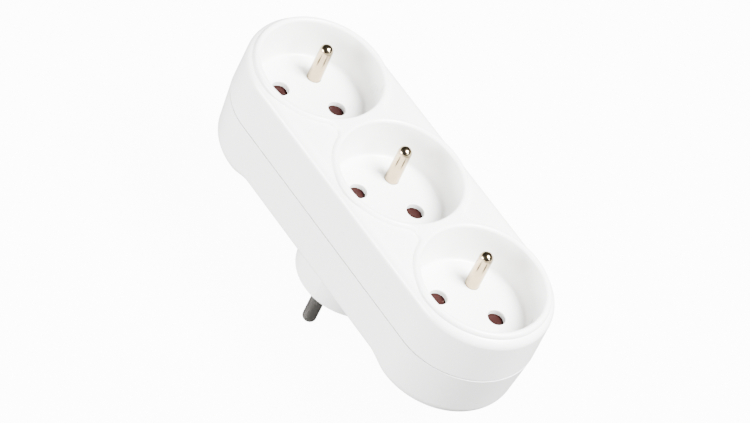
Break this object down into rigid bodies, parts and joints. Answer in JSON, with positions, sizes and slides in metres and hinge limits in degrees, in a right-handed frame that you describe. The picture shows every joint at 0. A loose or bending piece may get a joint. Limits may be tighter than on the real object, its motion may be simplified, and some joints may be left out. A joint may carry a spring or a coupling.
{
  "type": "triple socket adapter",
  "caption": "Long white adapter with a row of round earthed socket wells in front and an earthed plug on its stepped back.",
  "frame": {"origin": "centre of the plug's flat face, between its two live pins", "axes": "+Z out of the wall through the front, +X along the body from socket 1 to socket 3, +Y across the body towards the line contacts"},
  "size_m": [0.1402, 0.0488, 0.0703],
  "materials": {
    "white_plastic": "satin gloss",
    "shutter_plastic": "satin",
    "tray_plastic": "satin",
    "nickel": "polished nickel plate",
    "brass": "rolled",
    "spring_steel": "drawn wire",
    "zinc_steel": "zinc plated"
  },
  "bodies": {
    "housing": {"front_cover": "white_plastic", "rear_cover": "white_plastic", "line_bar": "brass", "neutral_bar": "brass", "earth_bar": "brass", "plug_pin_line": "nickel", "plug_pin_neutral": "nickel", "earth_stirrup": "nickel", "earth_sleeve": "brass", "earth_pin_1": "nickel", "line_clip_1": "brass", "neutral_clip_1": "brass", "shutter_tray_1": "tray_plastic", "shutter_spring_1": "spring_steel", "earth_pin_2": "nickel", "line_clip_2": "brass", "neutral_clip_2": "brass", "shutter_tray_2": "tray_plastic", "shutter_spring_2": "spring_steel", "earth_pin_3": "nickel", "line_clip_3": "brass", "neutral_clip_3": "brass", "shutter_tray_3": "tray_plastic", "shutter_spring_3": "spring_steel", "cover_screw_1": "zinc_steel", "cover_screw_2": "zinc_steel", "cover_screw_3": "zinc_steel", "cover_screw_4": "zinc_steel"},
    "shutter_1": {"shutter_1": "shutter_plastic"},
    "shutter_2": {"shutter_2": "shutter_plastic"},
    "shutter_3": {"shutter_3": "shutter_plastic"}
  },
  "joints": [
    {"name": "shutter_1_turn", "type": "hinge", "parent": "housing", "child": "shutter_1", "pos_m": [-0.04445, 0, 0.0316], "axis": [0, 0, -1], "range_deg": [0, 38], "stiffness_Nm_per_rad": 0.002, "springref_deg": -28.65, "deforming": ["shutter_spring_1"]},
    {"name": "shutter_2_turn", "type": "hinge", "parent": "housing", "child": "shutter_2", "pos_m": [0, 0, 0.0316], "axis": [0, 0, -1], "range_deg": [0, 38], "stiffness_Nm_per_rad": 0.002, "springref_deg": -28.65, "deforming": ["shutter_spring_2"]},
    {"name": "shutter_3_turn", "type": "hinge", "parent": "housing", "child": "shutter_3", "pos_m": [0.04445, 0, 0.0316], "axis": [0, 0, -1], "range_deg": [0, 38], "stiffness_Nm_per_rad": 0.002, "springref_deg": -28.65, "deforming": ["shutter_spring_3"]}
  ]
}
